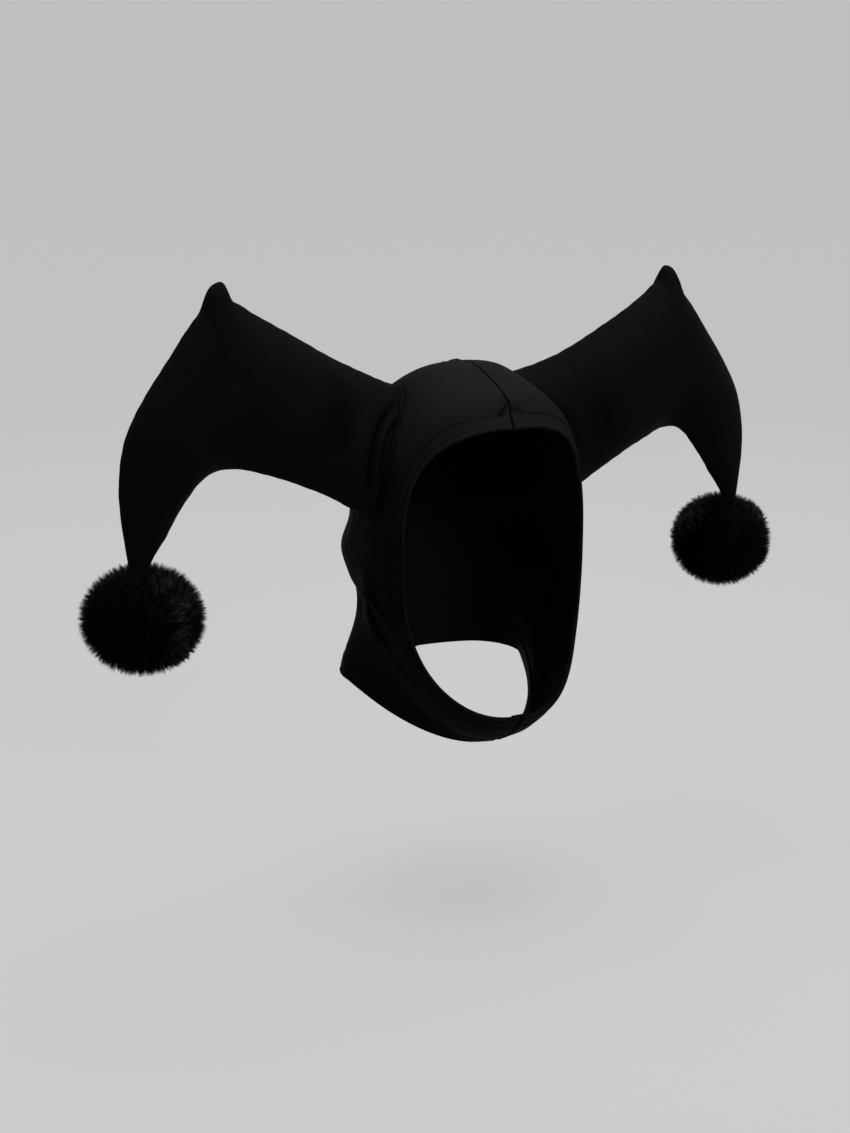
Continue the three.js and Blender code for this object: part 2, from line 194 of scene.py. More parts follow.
# Painted shade: the darker colour put into seams, stitch lines and crease valleys.
knit_painted_shade_colour = (0.0003, 0.0003, 0.0003)
knit_gloss = 0.006
knit_sheen = 0.004
knit_sheen_roughness = 0.45
knit_roughness = {"swing": 0.25, "least": 0.5}
edge_wear = 0.12
edge_wear_width = 0.0016
# Painted highlight: the tops of the fine creases are coloured lighter.
crease_top_painted_light = 0.3
crease_top_painted_light_rise = 0.004
# Painted light: the cloth is coloured lighter over the top of the crown, fading out towards the sides and the
# neck, where the lamp above and the sheen light it.
crown_painted_light = 0.72
crown_painted_light_ends = 0.50
crown_painted_light_power = 0.6
crown_painted_light_back = (0.30, 0.62)
# Painted shade: how wide and how strongly the seam, the horns' seams, the stitch lines and the crease valleys
# are coloured darker.
seam_painted_shade_width = 0.0007
seat_painted_shade = 0.8
seat_painted_shade_width = 0.0010
stitch_painted_shade = 0.5
stitch_painted_shade_width = 0.0010
crease_painted_shade_depth = 0.0016
crease_painted_shade_most = 0.9
wale = 0.00055
course = 0.00045
stitch_height = 0.00008
leg_height = {"swing": 0.3, "middle": 0.7}
patch_height = 0.0004
patch_shade = {"swing": 0.10, "least": -0.03}
patches_to_metre = 38
yarn_to_metre = 1400
yarn_shade = {"swing": 0.8, "least": 0.2}
thread_colour = (0.0020, 0.0020, 0.0022)
thread_gloss = 0.03
thread_roughness = 0.5
twists_to_metre = 2600


def table(columns, rows):
    """The table's columns as arrays, by name."""
    return dict(zip(columns.split(), np.array(rows, float).T))


hoops = table("way topY topZ sideY sideZ chinY chinZ half crown jaw bowTop bowY bowZ", [
    [0.00, -0.382, -0.138, -0.259, -0.462, -0.465, -0.887, 0.911, 2.85, 2.35, 4.2, 3.0, 0.86],
    [0.08, -0.288, -0.050, -0.200, -0.465, -0.447, -0.900, 0.975, 2.50, 2.40, 2.6, 2.6, 0.95],
    [0.23, 0.000, 0.007, -0.088, -0.488, -0.418, -0.923, 1.000, 2.10, 2.35, 1.3, 2.2, 1.10],
    [0.42, 0.353, -0.088, 0.000, -0.546, -0.376, -0.946, 1.000, 2.15, 2.30, 1.0, 1.9, 1.20],
    [0.52, 0.465, -0.196, 0.029, -0.585, -0.353, -0.958, 0.975, 2.10, 2.30, 1.0, 1.8, 1.30],
    [0.65, 0.524, -0.369, 0.059, -0.646, -0.318, -0.969, 0.930, 2.15, 2.30, 1.0, 1.7, 1.40],
    [0.75, 0.494, -0.508, 0.076, -0.708, -0.294, -0.977, 0.842, 2.15, 2.30, 1.0, 1.6, 1.50],
    [0.84, 0.441, -0.623, 0.118, -0.758, -0.276, -0.985, 0.835, 2.20, 2.25, 1.0, 1.6, 1.60],
    [0.92, 0.429, -0.735, 0.171, -0.808, -0.253, -0.988, 0.880, 2.30, 2.25, 1.0, 1.6, 1.70],
    [1.00, 0.453, -0.846, 0.200, -0.858, -0.235, -0.993, 0.918, 2.40, 2.25, 1.0, 1.6, 1.75],
])
main_folds = table("u0 v0 u1 v1 width rise", [
    [0.13, 0.26, 0.13, 0.38, 0.120, 0.028],
    [0.36, 0.50, 0.26, 0.62, 0.075, -0.016],
    [0.40, 0.54, 0.27, 0.70, 0.085, 0.022],
    [0.49, 0.56, 0.40, 0.74, 0.070, -0.024],
    [0.52, 0.54, 0.62, 0.24, 0.052, -0.009],
    [0.54, 0.66, 0.67, 0.42, 0.052, -0.008],
    [0.44, 0.97, 0.26, 0.97, 0.095, 0.012],
])
# Fine creases through three places each, with width and rise in metres. The power says how pointed each is.
crease_columns = "a0 b0 a1 b1 a2 b2 width rise power"
hood_creases = {
    "right": table(crease_columns, [
        [0.470, 0.620, 0.560, 0.500, 0.665, 0.440, 0.0030, 0.0022, 1.5],
        [0.480, 0.600, 0.580, 0.440, 0.680, 0.320, 0.0026, -0.0026, 1.7],
        [0.480, 0.590, 0.560, 0.360, 0.650, 0.120, 0.0026, 0.0026, 1.4],
        [0.490, 0.570, 0.560, 0.300, 0.645, 0.110, 0.0020, -0.0027, 1.6],
        [0.470, 0.590, 0.540, 0.320, 0.625, 0.090, 0.0022, 0.0020, 1.4],
        [0.440, 0.560, 0.500, 0.320, 0.560, 0.130, 0.0040, -0.0010, 1.8],
        [0.500, 0.660, 0.580, 0.620, 0.690, 0.600, 0.0032, -0.0014, 1.7],
        [0.460, 0.910, 0.630, 0.900, 0.760, 0.780, 0.0028, 0.0007, 1.5],
        [0.700, 0.860, 0.790, 0.620, 0.835, 0.300, 0.0024, 0.0007, 1.5],
        [0.004, 0.054, 0.020, 0.036, 0.050, 0.024, 0.0018, -0.0013, 1.6],
        [0.004, 0.080, 0.022, 0.062, 0.055, 0.052, 0.0024, 0.0008, 2.0],
        [-0.020, 0.290, 0.010, 0.292, 0.040, 0.297, 0.0022, 0.0020, 1.6],
        [-0.020, 0.262, 0.010, 0.262, 0.035, 0.264, 0.0018, -0.0014, 1.6],
        [-0.020, 0.236, 0.012, 0.236, 0.040, 0.240, 0.0026, 0.0013, 1.8],
    ]),
    "left": table(crease_columns, [
        [0.472, 0.610, 0.570, 0.490, 0.675, 0.420, 0.0032, 0.0020, 1.5],
        [0.482, 0.590, 0.585, 0.420, 0.675, 0.300, 0.0026, -0.0024, 1.7],
        [0.482, 0.585, 0.565, 0.340, 0.655, 0.140, 0.0028, 0.0023, 1.4],
        [0.492, 0.560, 0.555, 0.280, 0.630, 0.110, 0.0024, -0.0015, 1.6],
        [0.498, 0.650, 0.585, 0.610, 0.680, 0.570, 0.0032, -0.0013, 1.7],
        [0.470, 0.905, 0.620, 0.900, 0.740, 0.800, 0.0028, 0.0007, 1.5],
        [0.000, 0.050, 0.020, 0.052, 0.060, 0.050, 0.0016, 0.0012, 1.4],
        [0.000, 0.036, 0.018, 0.034, 0.050, 0.030, 0.0016, -0.0009, 1.6],
        [-0.020, 0.284, 0.010, 0.286, 0.036, 0.292, 0.0022, 0.0019, 1.6],
    ]),
}
brow_jog = {"v": 0.044, "width": 0.012, "reach": 0.008, "shift": 0.0016}
# A hem's cross-section: a bead at the very edge, the valley beside it, and the valley of the stitches.
hem_lines = table("share shift width rise power", [
    [0.00, 0.0010, 0.0010, 0.0003, 2.0],
    [0.00, 0.0026, 0.0008, -0.0005, 2.0],
    [0.90, 0.0000, 0.0011, -0.0006, 1.6],
])

# Where each horn is sewn on: the middle of its seam, how far it leans back at its top, and how square it is.
seats = {
    "right": {"u": 0.290, "v": 0.262, "lean": -0.42, "height": 0.098, "width": 0.042, "square": 2.3},
    "left": {"u": 0.284, "v": 0.235, "lean": -0.38, "height": 0.096, "width": 0.042, "square": 2.3},
}
seat_dip = 0.0012
seat_dip_width = 0.0022
seat_allowance = 0.0050
seat_rounds = (0.15, 0.42)


def through(knots, values, at):
    """A smooth curve through values at knots: a cubic between each two, with each knot's slope taken from the
    knots before and after it. The values may have further axes."""
    before = np.maximum(np.arange(len(knots)) - 1, 0)
    after = np.minimum(np.arange(len(knots)) + 1, len(knots) - 1)
    shape = (-1,) + (1,) * (np.ndim(values) - 1)
    slope = (values[after] - values[before]) / (knots[after] - knots[before]).reshape(shape)
    i = np.clip(np.searchsorted(knots, at, side="left") - 1, 0, len(knots) - 2)
    span = knots[i + 1] - knots[i]
    s = (at - knots[i]) / span
    if np.ndim(values) > 1:
        s, span = (x.reshape(x.shape + (1,) * (np.ndim(values) - 1)) for x in (s, span))
    return ((2 * s**3 - 3 * s**2 + 1) * values[i] + (s**3 - 2 * s**2 + s) * span * slope[i]
            + (3 * s**2 - 2 * s**3) * values[i + 1] + (s**3 - s**2) * span * slope[i + 1])


def unit(vectors):
    """Vectors of length 1."""
    return vectors / np.linalg.norm(vectors, axis=-1, keepdims=True)


def bell(distance, width, power=2):
    """A hump: 1 at no distance, about a third at one width. A lower power makes it more pointed."""
    return np.exp(-np.abs(distance / width) ** power)


def half_wave(share):
    """A soft fall from 1 at share 0 to 0 at share 1."""
    return 0.5 + 0.5 * np.cos(np.pi * np.clip(share, 0, 1))


def square_round(angle, power):
    """Distance from a centre to a superellipse of unit size, in the direction of an angle."""
    return (np.abs(np.sin(angle)) ** power + np.abs(np.cos(angle)) ** power) ** (-1 / power)


def hood_form(u, v):
    """The smooth form of the left panel. u runs from the seam on the crown to the seam under the chin, v from
    the face edge to the neck rim. Each hoop of constant v is two quarters of superellipses that meet at its
    side."""
    u, v = np.broadcast_arrays(np.asarray(u, float), np.asarray(v, float))
    hoop = {name: through(hoops["way"], column, v) for name, column in hoops.items()}
    low = u > 0.5
    reach = square_round(np.pi * u, np.where(low, hoop["jaw"], hoop["crown"]))
    across = np.abs(np.sin(np.pi * u)) * reach
    along = np.clip(np.abs(np.cos(np.pi * u)) * reach, 0, 1)
    end_y, end_z = np.where(low, hoop["chinY"], hoop["topY"]), np.where(low, hoop["chinZ"], hoop["topZ"])
    y = hoop["sideY"] + (end_y - hoop["sideY"]) * along ** np.where(low, hoop["bowY"], hoop["bowTop"])
    z = hoop["sideZ"] + (end_z - hoop["sideZ"]) * along ** np.where(low, hoop["bowZ"], 1)
    return np.stack([across * hoop["half"] * hood_breadth / 2, y * hood_length, z * hood_height], -1)


def hood_normal(u, v, step=1e-4):
    """The outward direction: the cross product of the form's differences over small steps in u and in v."""
    u0, u1 = np.maximum(u - step, 0), np.minimum(u + step, 1)
    v0, v1 = np.maximum(v - step, 0), np.minimum(v + step, 1)
    return unit(np.cross(hood_form(u1, v) - hood_form(u0, v), hood_form(u, v1) - hood_form(u, v0)))


def fold_rise(points, folds):
    """How far folds lift the cloth: a bell across the line between each fold's two ends."""
    rise = np.zeros(points.shape[:-1])
    for u0, v0, u1, v1, width, height in zip(*folds.values()):
        start, end = hood_form(u0, v0), hood_form(u1, v1)
        along = end - start
        share = np.clip((points - start) @ along / (along @ along), 0, 1)
        apart = np.linalg.norm(points - start - share[..., None] * along, axis=-1)
        rise += height * hood_breadth * bell(apart, width * hood_breadth)
    return rise


def hood_cloth(u, v, out=0):
    """The outside of the panel with its main folds, moved out by a further amount."""
    points = hood_form(u, v)
    rise = fold_rise(points, main_folds) + out
    return points + hood_normal(u, v) * rise[..., None]


def from_line(points, line):
    """Each point's distance from a line of short straight pieces, and the share of the line where that is."""
    start, along = line[:-1], np.diff(line, axis=0)
    apart = points[:, None] - start
    share = np.clip((apart * along).sum(-1) / (along ** 2).sum(-1), 0, 1)
    distance = np.linalg.norm(apart - share[..., None] * along, axis=-1)
    nearest = distance.argmin(1)
    row = np.arange(len(points))
    return distance[row, nearest], (nearest + share[row, nearest]) / len(start)


def crease_rise(points, creases, form, *seat):
    """How far fine creases lift the cloth. Each follows a parabola through its three places on the form, falls
    off with the distance from it, and fades out at both ends as the root of a half wave does."""
    rise = np.zeros(points.shape[:-1])
    t = np.linspace(0, 1, 25)
    for a0, b0, a1, b1, a2, b2, width, height, power in zip(*creases.values()):
        a, b = ((1 - t) * (1 - 2 * t) * first + 4 * t * (1 - t) * middle + t * (2 * t - 1) * last
                for first, middle, last in ((a0, a1, a2), (b0, b1, b2)))
        line = form(np.clip(a, 0, 1), b, *seat)
        reach = 4 * width
        near = ((points > line.min(0) - reach) & (points < line.max(0) + reach)).all(-1)
        distance, share = from_line(points[near], line)
        rise[near] += height * np.sqrt(np.sin(np.pi * share)) * bell(distance, width, power)
    return rise


def lengths_along(points, axis=0):
    """How far each point of a grid is from the first point of its line, along the line."""
    steps = np.linalg.norm(np.diff(points, axis=axis), axis=-1)
    return np.concatenate([np.zeros_like(steps.take([0], axis)), np.cumsum(steps, axis)], axis)


def hood_places():
    """u and v of the panel's grid, with the distance of each place from the face edge and from the neck rim.
    The lines stand close together beside the seams, the rolled edges and the hems."""
    even = np.linspace(0, 1, hood_lines_round)
    u = even - hood_bunching * np.sin(2 * np.pi * even) / (2 * np.pi)
    ways = np.linspace(0, 1, way_steps)
    lengths = lengths_along(hood_form(u[:, None], ways), 1)
    total = lengths[:, -1:]
    squeeze = np.minimum(1, hems_most * total / (hem_reach * (face_hem + neck_hem)))
    roll = edge_roll * (1 - np.cos(np.linspace(0, np.pi / 2, edge_lines, endpoint=False)))
    start = np.concatenate([roll, np.linspace(edge_roll, hem_reach * face_hem, face_hem_lines)])
    end = np.concatenate([roll, np.linspace(edge_roll, hem_reach * neck_hem, neck_hem_lines)])[::-1]
    share = np.linspace(0, 1, middle_lines + 2)[1:-1]
    middle = start[-1] * squeeze * (1 - share) + (total - end[0] * squeeze) * share
    distance = np.concatenate([start * squeeze, middle, total - end * squeeze], 1)
    v = np.stack([np.interp(d, length, ways) for d, length in zip(distance, lengths)])
    return np.broadcast_to(u[:, None], v.shape), v, distance / squeeze, (total - distance) / squeeze


def hem_relief(distance, width):
    """How far a hem's humps and valleys lift the cloth, by the distance from its edge."""
    return sum(rise * bell(distance - share * width - shift, breadth, power)
               for share, shift, breadth, rise, power in zip(*hem_lines.values()))


def within(distance, width):
    """1 up to a width and 0 beyond it, with a short steep step between."""
    return np.clip((width - distance) / hem_step + 0.5, 0, 1)


def rounded(distance):
    """Half a circle's height beside an edge: 0 at the edge, 1 from the edge's radius on."""
    return np.sqrt(1 - (1 - np.clip(distance / edge_roll, 0, 1)) ** 2)


def seat_place(seat, angle, share=1):
    """u and v of a place on a horn's seat. Angle 0 is its top, and share runs from its middle to its seam."""
    high, low = seat_rounds
    round_length = np.linalg.norm(hood_form(high, seat["v"]) - hood_form(low, seat["v"])) / (low - high)
    way_length = np.linalg.norm(np.diff(hood_form(seat["u"], np.linspace(0, 1, 61)), axis=0), axis=-1).sum()
    reach = square_round(angle, seat["square"]) * share
    du = -np.cos(angle) * reach * seat["height"] / 2 / round_length
    dv = -np.sin(angle) * reach * seat["width"] / 2 / way_length
    return seat["u"] + du, seat["v"] + dv + seat["lean"] * du


def seat_distance(points, seat):
    """Each point's distance from a horn's seam."""
    line = hood_cloth(*seat_place(seat, np.linspace(0, 2 * np.pi, 121)))
    distance = np.full(points.shape[:-1], 1.0)
    near = ((points > line.min(0) - 0.01) & (points < line.max(0) + 0.01)).all(-1)
    distance[near] = from_line(points[near], line)[0]
    return distance


def lay_map(made, places):
    """A piece's UV map, in metres along and across its cloth: one place for each point."""
    layer = made.data.uv_layers.new(name="cloth")
    corner = np.empty(len(made.data.loops), np.int32)
    made.data.loops.foreach_get("vertex_index", corner)
    layer.data.foreach_set("uv", places.reshape(-1, 2)[corner].ravel())


def mark(made, name, values):
    """A number for each point of a piece, kept as an attribute that its material reads."""
    made.data.attributes.new(name, "FLOAT", "POINT").data.foreach_set("value", np.ravel(values))


def puckers(along, from_seam, short, long, phase, place, width):
    """Fine puckers from -1 to 1 in a band beside a seam: two waves along it, multiplied."""
    return np.sin(along / short) * np.sin(along / long + phase) * bell(from_seam - place, width)


def swell(from_seam, height, place, width):
    """A low swell along a seam, some way from it."""
    return height * bell(from_seam - place, width)


def hood_panel(word, side):
    """A closed wall: the cloth's outside with its seams, hems and creases, and its inside below it, joined at
    the borders. Comes with the lines on the outside that the stitches follow."""
    u, v, from_face, from_rim = hood_places()
    form = hood_form(u, v)
    normal = hood_normal(u, v)
    seam = form[..., 0]
    soft = fold_rise(form, main_folds)
    fine = crease_rise(form, hood_creases[word], hood_form)
    at_seat = seat_distance(form + normal * soft[..., None], seats[word])
    length = lengths_along(form)
    calm = hem_calm_share + (1 - hem_calm_share) * np.clip(u / hem_calm_ends, 0, 1)
    rise = soft + fine + calm * hem_relief(from_face, face_hem) + hem_relief(from_rim, neck_hem)
    rise += pucker_height * puckers(from_face, seam, **hood_pucker) + swell(seam, **seam_swell)
    rise -= seam_depth * bell(seam, seam_width, seam_power) + seat_dip * bell(at_seat, seat_dip_width)
    roll = (1 - rounded(from_face) * rounded(from_rim)) * hem_wall / 2
    in_hem = np.maximum(within(from_face, face_hem), within(from_rim, neck_hem))
    wall = cloth_wall + (hem_wall - cloth_wall) * in_hem
    allowance = allowance_wall * np.maximum(within(seam, seam_allowance), within(at_seat, seat_allowance))
    outer = form + normal * (rise - roll)[..., None]
    inner = form + normal * (soft + inside_share * fine - wall - allowance + roll)[..., None]
    outer[[0, -1], :, 0] = 0
    inner[[0, -1], :, 0] = 0
    points = np.stack([outer, inner]) * [side, 1, 1]
    at_jog = bell(v - brow_jog["v"], brow_jog["width"]) * bell(seam, brow_jog["reach"]) * (u < 0.5)
    points[..., 0] += brow_jog["shift"] * at_jog
    rows, columns = u.shape
    number = np.arange(2 * rows * columns).reshape(2, rows, columns)
    faces = grid_faces(rows, columns)
    edge = np.concatenate([number[:, :, 0].T, number[:, -1, 1:].T, number[:, ::-1, -1][:, 1:].T,
                           number[:, 0, ::-1][:, 1:].T])
    border = np.stack([edge[:-1, 0], edge[:-1, 1], edge[1:, 1], edge[1:, 0]], -1)
    every = np.concatenate([faces, faces[:, ::-1] + rows * columns, border])
    made = mesh_object("panel_" + word, points, every if side > 0 else every[:, ::-1])
    lay_map(made, np.stack([np.stack([from_face, length], -1)] * 2))
    # Painted light on the crown: lighter at the top, fading out towards the sides and the neck.
    backwards = (v - crown_painted_light_back[0]) / (crown_painted_light_back[1] - crown_painted_light_back[0])
    crown_painted_light_share = half_wave(u / crown_painted_light_ends) ** crown_painted_light_power * half_wave(backwards)
    edges = np.maximum(bell(from_face, edge_wear_width), bell(from_rim, edge_wear_width))
    wear_and_painted_light = crown_painted_light * crown_painted_light_share + edge_wear * (1 - crown_painted_light_share) * edges
    # Painted highlight along the tops of the fine creases.
    wear_and_painted_light += crease_top_painted_light * np.clip(fine / crease_top_painted_light_rise, 0, 1)
    mark(made, "wear_and_painted_light", np.stack([wear_and_painted_light, 0 * wear_and_painted_light]))
    # Painted shade in the seam groove, round the horns' seams, along the stitch lines and in the crease
    # valleys.
    painted_shade = np.maximum(bell(seam, seam_painted_shade_width), seat_painted_shade * bell(at_seat, seat_painted_shade_width))
    for distance, width in ((from_face, face_hem), (from_rim, neck_hem)):
        painted_shade += stitch_painted_shade * calm * bell(distance - stitch_line * width, stitch_painted_shade_width)
    painted_shade += np.clip(-fine / crease_painted_shade_depth, 0, crease_painted_shade_most)
    mark(made, "painted_shade", np.stack([painted_shade, 0 * painted_shade]))
    lines = []
    for distance, away in ((from_face, stitch_line * face_hem), (from_rim, stitch_line * neck_hem),
                           (from_rim, stitch_line * neck_hem - stitch_rows_apart)):
        column = np.abs(distance - away).argmin(1)
        pick = np.arange(rows), column
        lines.append((points[0][pick], normal[pick] * [side, 1, 1]))
    return made, lines


def along_line(line, length, at):
    """A line's values at given lengths along it."""
    return np.stack([np.interp(at, length, column) for column in line.T], -1)


def stitch_rods(points, normals):
    """Starts, ends and outward directions of the stitches on one line, a pitch apart."""
    length = lengths_along(points)
    at = np.arange(stitch_pitch / 2, length[-1] - stitch_pitch / 2, stitch_pitch)
    start = along_line(points, length, at - stitch_length / 2)
    end = along_line(points, length, at + stitch_length / 2)
    return start, end, unit(along_line(normals, length, at))


def stitches(name, lines):
    """Rows of short rods of thread with tapered ends, each arched a little out of the cloth."""
    start, end, out = (np.concatenate(parts) for parts in zip(*(stitch_rods(*line) for line in lines)))
    along = np.linspace(-1, 1, stitch_rings)[:, None]
    radius = thread_radius * np.sqrt(1 - 0.94 * along ** 4)
    lift = thread_radius * (0.7 - 0.9 * along ** 2)
    across = unit(np.cross(end - start, out))
    turn = np.linspace(0, 2 * np.pi, stitch_sides, endpoint=False)[:, None]
    middle = (start + end)[:, None] / 2 + (end - start)[:, None] / 2 * along + out[:, None] * lift
    ring = across[:, None] * np.cos(turn) + out[:, None] * np.sin(turn)
    points = middle[:, :, None] + ring[:, None] * radius[:, None]
    first = np.arange(len(start))[:, None] * stitch_rings * stitch_sides
    sides = grid_faces(stitch_rings, stitch_sides, closed=True).reshape(1, -1, 4) + first[:, None]
    start_cap = first + np.arange(stitch_sides)
    end_cap = start_cap[:, ::-1] + (stitch_rings - 1) * stitch_sides
    return mesh_object(name, points, [*sides.reshape(-1, 4).tolist(), *start_cap.tolist(), *end_cap.tolist()])


def maths(tree, operation, *sources):
    """The result of a maths node whose inputs are sockets or numbers."""
    node = tree.nodes.new("ShaderNodeMath")
    node.operation = operation
    for socket, source in zip(node.inputs, sources):
        if isinstance(source, bpy.types.NodeSocket):
            tree.links.new(source, socket)
        else:
            socket.default_value = source
    return node.outputs["Value"]


def noise(tree, place, scale, detail=3):
    """Soft noise from 0 to 1 over a place, with so many patches to the metre."""
    node = tree.nodes.new("ShaderNodeTexNoise")
    node.inputs["Scale"].default_value = scale
    node.inputs["Detail"].default_value = detail
    tree.links.new(place, node.inputs["Vector"])
    return node.outputs["Fac"]


def marked(tree, name):
    """A point attribute of the piece, as a number."""
    node = tree.nodes.new("ShaderNodeAttribute")
    node.attribute_name = name
    return node.outputs["Fac"]


def shade_between(tree, share, low, high):
    """A colour between two, by a share from 0 to 1. Each is a colour or another such blend."""
    blend = tree.nodes.new("ShaderNodeMix")
    blend.data_type = "RGBA"
    tree.links.new(share, blend.inputs["Factor"])
    for socket, colour in ((blend.inputs["A"], low), (blend.inputs["B"], high)):
        if isinstance(colour, bpy.types.NodeSocket):
            tree.links.new(colour, socket)
        else:
            socket.default_value = (*colour, 1)
    return blend.outputs["Result"]


def raise_surface(tree, shader, height):
    """Bumps a shader's surface by a height in metres."""
    bump = tree.nodes.new("ShaderNodeBump")
    bump.inputs["Distance"].default_value = 1
    tree.links.new(height, bump.inputs["Height"])
    tree.links.new(bump.outputs["Normal"], shader.inputs["Normal"])


def knit_finish():
    """Smooth jersey. Columns of V-shaped stitches: a rounded rib across each wale, and in it rows whose legs
    slant with the distance from its middle. Larger soft patches change shade, gloss and height a little, and
    the edges and the horns' seams are greyer from wear. The crown, the tops of the fine creases and the ridge
    round each horn's base are coloured lighter, a painted highlight, and seams, stitch lines and crease valleys
    are coloured darker, a painted shade."""
    material, shader = principled("knit", knit_colour, knit_roughness["least"], knit_gloss)
    shader.inputs["Sheen Weight"].default_value = knit_sheen
    shader.inputs["Sheen Roughness"].default_value = knit_sheen_roughness
    tree = material.node_tree
    place = tree.nodes.new("ShaderNodeTexCoord")
    cloth = tree.nodes.new("ShaderNodeSeparateXYZ")
    tree.links.new(place.outputs["UV"], cloth.inputs["Vector"])
    column = maths(tree, "FRACT", maths(tree, "DIVIDE", cloth.outputs["X"], wale))
    lean = maths(tree, "ABSOLUTE", maths(tree, "SUBTRACT", column, 0.5))
    rib = maths(tree, "SUBTRACT", 1, maths(tree, "POWER", maths(tree, "MULTIPLY", lean, 2), 2))
    row = maths(tree, "ADD", maths(tree, "DIVIDE", cloth.outputs["Y"], course), lean)
    wave = maths(tree, "SINE", maths(tree, "MULTIPLY", row, 2 * np.pi))
    leg = maths(tree, "MULTIPLY_ADD", wave, leg_height["swing"], leg_height["middle"])
    stitch = maths(tree, "MULTIPLY", maths(tree, "MULTIPLY", rib, leg), stitch_height)
    patches = noise(tree, place.outputs["Object"], patches_to_metre)
    yarn = noise(tree, place.outputs["Object"], yarn_to_metre, 1)
    raise_surface(tree, shader, maths(tree, "MULTIPLY_ADD", patches, patch_height, stitch))
    uneven = maths(tree, "MULTIPLY_ADD", yarn, yarn_shade["swing"], yarn_shade["least"])
    # Wear together with painted light: the lighter crown, crease tops and base ridges.
    wear_and_painted_light_share = maths(tree, "MULTIPLY", marked(tree, "wear_and_painted_light"), uneven)
    patchy = maths(tree, "MULTIPLY_ADD", patches, patch_shade["swing"], patch_shade["least"])
    cloth_shade = shade_between(tree, maths(tree, "ADD", wear_and_painted_light_share, patchy), knit_colour, knit_wear_and_light_colour)
    # Painted shade: seams, stitch lines and crease valleys are coloured darker.
    colour = shade_between(tree, marked(tree, "painted_shade"), cloth_shade, knit_painted_shade_colour)
    tree.links.new(colour, shader.inputs["Base Color"])
    rough = maths(tree, "MULTIPLY_ADD", patches, knit_roughness["swing"], knit_roughness["least"])
    tree.links.new(rough, shader.inputs["Roughness"])
    return material


def thread_finish():
    """Spun thread: a little glossier than the cloth, with a fine uneven shade."""
    material, shader = principled("thread", thread_colour, thread_roughness, thread_gloss)
    tree = material.node_tree
    place = tree.nodes.new("ShaderNodeTexCoord")
    twist = noise(tree, place.outputs["Object"], twists_to_metre, 1)
    tree.links.new(shade_between(tree, twist, knit_colour, thread_colour), shader.inputs["Base Color"])
    return material


knit = knit_finish()
thread = thread_finish()
for side, word in ((1, "left"), (-1, "right")):
    panel, lines = hood_panel(word, side)
    panel.data.materials.append(knit)
    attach(panel, "root")
    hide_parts("hood_" + word)
    hem_stitches = stitches("hem_stitches_" + word, lines)
    hem_stitches.data.materials.append(thread)
    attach(hem_stitches, "root")

# Horns
# Each horn is a front and a back panel of the same knit, sewn together along their outline, turned out,
# filled with polyester fibre and sewn to the side of the hood. Its upper corner is a blunt knob, and its
# narrow end goes into the fur ball.
horn_reach = 0.182
horn_height = 0.172
horn_thickness = 0.056
horn_root = (0.285, 0.250)
seat_blend = 0.16
cap_shares = (0.2, 0.4, 0.6, 0.8, 0.93)
base_lines = 92
base_share = 0.14
horn_lines_along = 206
horn_lines_round = 160
horn_bunching = 0.8
base_ridge = {"height": 0.0010, "place": 0.0016, "width": 0.0010}
base_valley = {"height": 0.0010, "place": 0.0036, "width": 0.0010}
horn_seam_depth = 0.0010
horn_seam_starts = 0.004
horn_swell = {"height": 0.0002, "place": 0.0026, "width": 0.0016}
horn_pucker_height = 0.00015
horn_pucker = {"short": 0.0021, "long": 0.0093, "phase": 2, "place": 0.003, "width": 0.003}
seam_wear = {"height": 0.15, "place": 0.0020, "width": 0.0012}
# Painted highlight: the rolled ridge round the horn's base is coloured lighter.
ridge_painted_light = {"height": 0.3, "place": 0.0016, "width": 0.0008}
# Painted shade: the seams, the valley beside the base and the crease valleys are coloured darker.
horn_seam_painted_shade = {"height": 0.7, "place": 0, "width": 0.0006}
valley_painted_shade = {"height": 0.8, "place": 0.0036, "width": 0.0008}
horn_crease_painted_shade_depth = 0.0045
base_sink = 0.0012
fill_rows = 64
fill_columns = 40
fill_slimmer = 0.0015
fill_pressure = 4
fill_frames = 20
fill_most = 0.0030
fill_slack = -0.002
fill_smoothings = 6
lens = 1.22
knob_along = 0.590
knob_width = 0.041
knob_power = 4
knob_fall = 5
knob_rise = (0, 0, 0.0112)
knob_calm = 0.6
knob_calm_width = 1.5
end_shift = {"right": 0, "left": 0.003}
end_shift_starts = 0.85
horn_sections = table("along TX TY TZ BX BY BZ full", [
    [0.00, -0.060, 0.24, 0.188, 0.085, -0.10, -0.298, 0.66],
    [0.10, 0.060, 0.14, 0.260, 0.150, -0.14, -0.266, 0.86],
    [0.22, 0.212, 0.08, 0.338, 0.262, -0.16, -0.198, 0.98],
    [0.36, 0.380, 0.04, 0.436, 0.400, -0.12, -0.132, 1.00],
    [0.46, 0.498, 0.06, 0.507, 0.488, -0.08, -0.098, 0.98],
    [0.53, 0.568, 0.09, 0.553, 0.544, -0.03, -0.080, 0.95],
    [0.59, 0.630, 0.10, 0.558, 0.593, 0.01, -0.070, 0.92],
    [0.65, 0.712, 0.09, 0.500, 0.640, 0.02, -0.069, 0.89],
    [0.72, 0.812, 0.08, 0.362, 0.688, 0.02, -0.080, 0.84],
    [0.79, 0.922, 0.07, 0.203, 0.736, 0.02, -0.118, 0.76],
    [0.85, 0.990, 0.05, 0.070, 0.774, 0.02, -0.167, 0.66],
    [0.90, 1.018, 0.03, -0.075, 0.813, 0.02, -0.225, 0.53],
    [0.94, 1.018, 0.02, -0.215, 0.853, 0.02, -0.295, 0.38],
    [0.97, 0.998, 0.02, -0.385, 0.908, 0.02, -0.372, 0.22],
    [1.00, 0.986, 0.02, -0.450, 0.948, 0.02, -0.446, 0.16],
])
